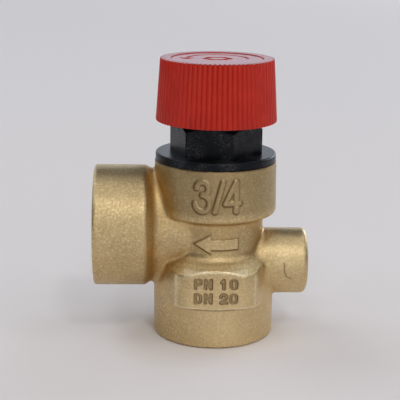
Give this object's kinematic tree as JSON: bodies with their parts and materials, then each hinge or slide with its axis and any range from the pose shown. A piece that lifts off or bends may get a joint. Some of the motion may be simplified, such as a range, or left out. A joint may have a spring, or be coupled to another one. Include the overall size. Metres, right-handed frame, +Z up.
{
  "type": "pressure relief valve",
  "caption": "Angled brass pressure relief valve with threaded inlet, side outlet and gauge port, spring-loaded diaphragm, black bonnet, and ribbed red cap turned to open it by hand.",
  "frame": {"origin": "centre of the inlet's mouth, on its face and on the spindle's axis", "axes": "+Z up the spindle from the inlet to the cap, -X out of the discharge outlet, +X out of the gauge port, -Y the front with the raised 3/4 and the flow arrow"},
  "size_m": [0.0584, 0.0339, 0.0761],
  "materials": {
    "forged_brass": "shot-blasted forging",
    "turned_brass": "turned, bright",
    "black_nylon": "moulded, satin",
    "red_plastic": "moulded, satin",
    "red_badge": "moulded, semi-gloss",
    "black_rubber": "matt",
    "natural_acetal": "moulded",
    "spring_steel": "drawn wire",
    "zinc_steel": "zinc plated",
    "stainless_steel": "plain"
  },
  "bodies": {
    "body": {"valve_body": "forged_brass", "bonnet": "black_nylon", "diaphragm": "black_rubber", "clamp_ring": "natural_acetal", "spring": "spring_steel", "spring_disc": "zinc_steel", "adjusting_ring": "turned_brass", "stem_guide": "natural_acetal", "lock_ring": "zinc_steel"},
    "lifter": {"lift_washer": "natural_acetal"},
    "cap": {"cap": "red_plastic", "cap_badge": "red_badge"},
    "spindle": {"disc_holder": "turned_brass", "seat_disc": "black_rubber", "retaining_washer": "stainless_steel", "retaining_screw": "stainless_steel", "stem": "turned_brass", "diaphragm_plate": "turned_brass", "stem_nut": "turned_brass", "cap_nut": "zinc_steel"}
  },
  "joints": [
    {"name": "cap_rise", "type": "slide", "parent": "body", "child": "lifter", "axis": [0, 0, 1], "range_m": [0, 0.002], "deforming": ["spring", "diaphragm"]},
    {"name": "cap_turn", "type": "hinge", "parent": "lifter", "child": "cap", "pos_m": [0, 0, 0.0685], "axis": [0, 0, 1], "range_deg": [0, 70]},
    {"name": "stem_lift", "type": "slide", "parent": "lifter", "child": "spindle", "axis": [0, 0, 1], "range_m": [0, 0.002], "stiffness_N_per_m": 2500, "springref_m": -0.005, "deforming": ["spring", "diaphragm"]}
  ],
  "couplings": [
    {"joint": "cap_turn", "follows": "cap_rise", "rad_per_m": 610.86}
  ]
}
